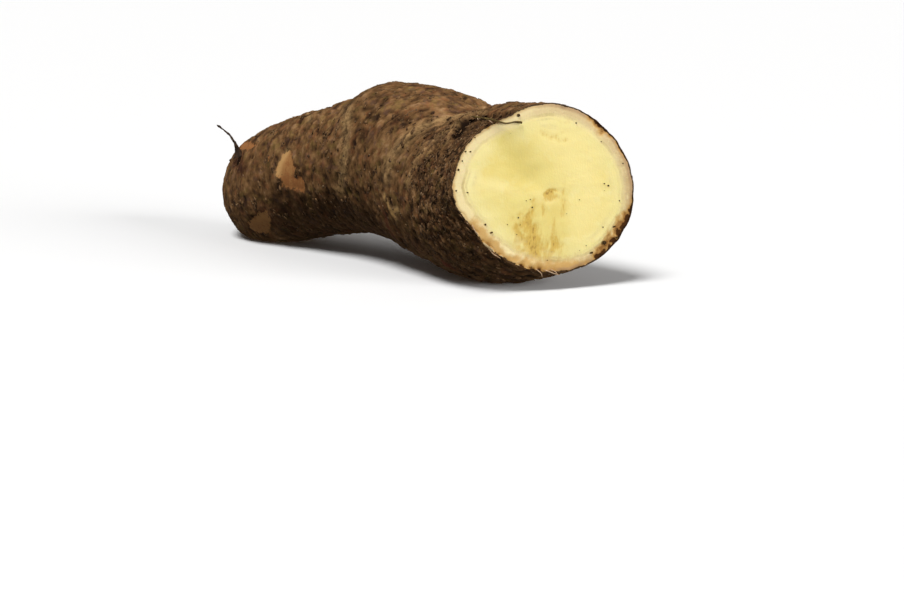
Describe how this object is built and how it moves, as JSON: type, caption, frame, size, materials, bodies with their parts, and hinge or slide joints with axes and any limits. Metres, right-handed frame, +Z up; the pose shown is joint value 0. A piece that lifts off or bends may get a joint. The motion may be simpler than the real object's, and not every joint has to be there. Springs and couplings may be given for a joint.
{
  "type": "cassava root",
  "caption": "Brown cassava root lying on its side, sliced square across at the thick end to show pale yellow flesh, with a thin rootlet on its tail.",
  "frame": {"origin": "on the floor, under the middle of the root's box", "axes": "+X towards the sliced thick end, -X towards the tail, +Z up as the root lies; the slice is upright and its outward face is turned 22.4 degrees from +X towards -Y"},
  "size_m": [0.219, 0.078, 0.0738],
  "materials": {
    "root": "rough, matt, earthy brown bark with streaks and rings; the slice is moist pale yellow flesh inside a whitish ring of inner peel"
  },
  "bodies": {
    "root": {"cassava_root": "root"}
  },
  "joints": []
}
